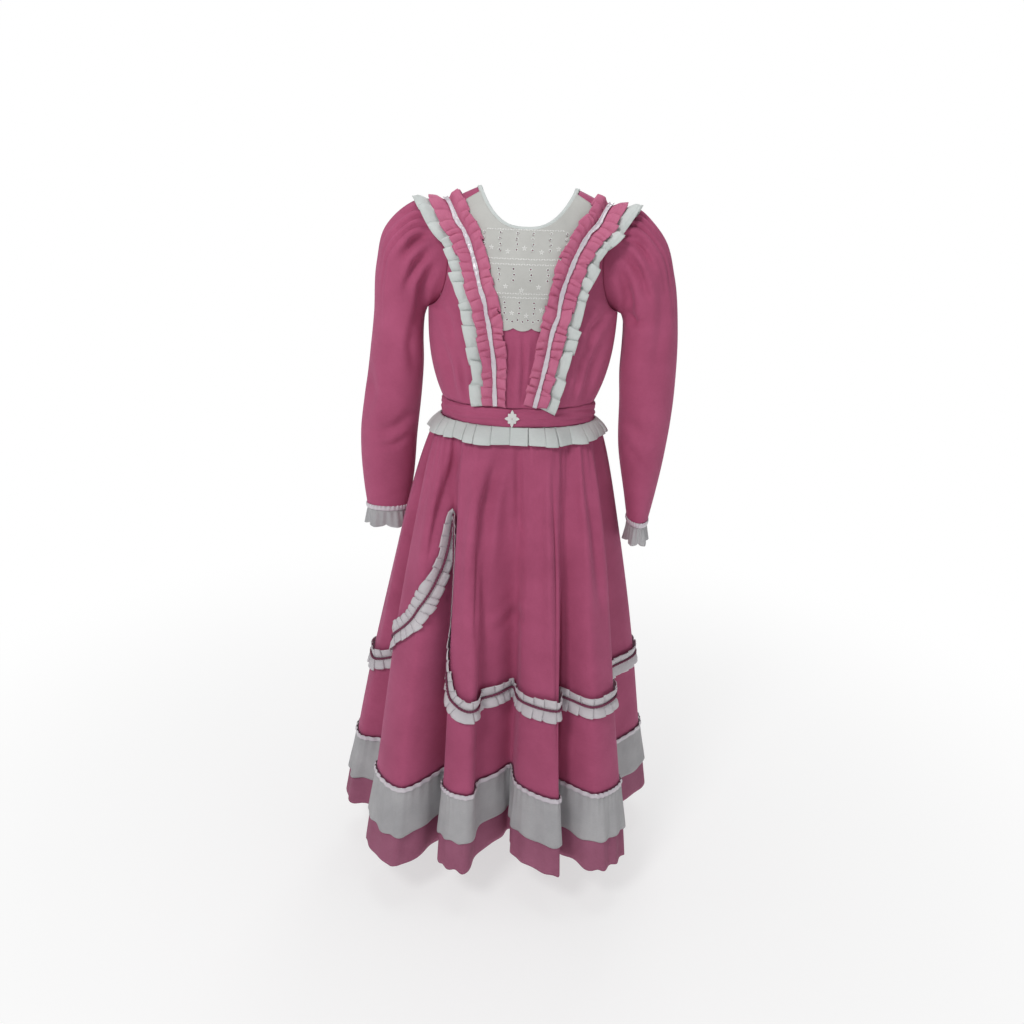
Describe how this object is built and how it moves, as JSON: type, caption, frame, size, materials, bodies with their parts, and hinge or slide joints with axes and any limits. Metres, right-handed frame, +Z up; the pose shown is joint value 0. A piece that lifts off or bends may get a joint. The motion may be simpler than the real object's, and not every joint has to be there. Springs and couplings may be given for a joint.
{
  "type": "prenda dress",
  "caption": "Long-sleeved ruffled folk dress with a flared skirt, worn shape, hollow, with an eyelet front panel, ruched trims and a flounced hem.",
  "frame": {"origin": "the middle of the shoulder line, where the dress hangs on the wearer", "axes": "+Z up, -Y is the front of the dress, +X is the wearer's left"},
  "size_m": [0.6934, 0.573, 1.3257],
  "materials": {
    "dress_cloth": "fine plain-weave polyester, soft matt with a slight sheen",
    "ruche_cloth": "the same cloth, pleated",
    "flounce_cloth": "thin dusty pink lining cloth, matt",
    "eyelet_cloth": "white cotton with embroidered eyelets",
    "white_cloth": "white cotton, matt",
    "voile": "thin white voile, cool grey where it lies over pink",
    "satin_ribbon": "white satin ribbon, glossy",
    "cord": "dark pink braid",
    "crochet": "white cotton crochet"
  },
  "bodies": {
    "root": {"bodice_front": "dress_cloth", "bodice_back": "dress_cloth", "plastron": "eyelet_cloth", "neck_binding": "white_cloth", "white_ruffle_right": "white_cloth", "white_ruffle_left": "white_cloth", "ruche_right": "ruche_cloth", "ruche_left": "ruche_cloth", "ruche_ribbon_right": "satin_ribbon", "ruche_ribbon_left": "satin_ribbon", "sleeve_right": "dress_cloth", "sleeve_left": "dress_cloth", "cuff_ribbon_right": "satin_ribbon", "cuff_ribbon_left": "satin_ribbon", "cuff_frill_right": "voile", "cuff_frill_left": "voile", "waistband": "dress_cloth", "waist_frill": "white_cloth", "rosette": "crochet", "skirt_front": "dress_cloth", "skirt_back": "dress_cloth", "skirt_trim": "white_cloth", "skirt_trim_cord": "cord", "hem_ribbon": "satin_ribbon", "hem_flounce_white": "voile", "hem_flounce_pink": "flounce_cloth"}
  },
  "joints": []
}
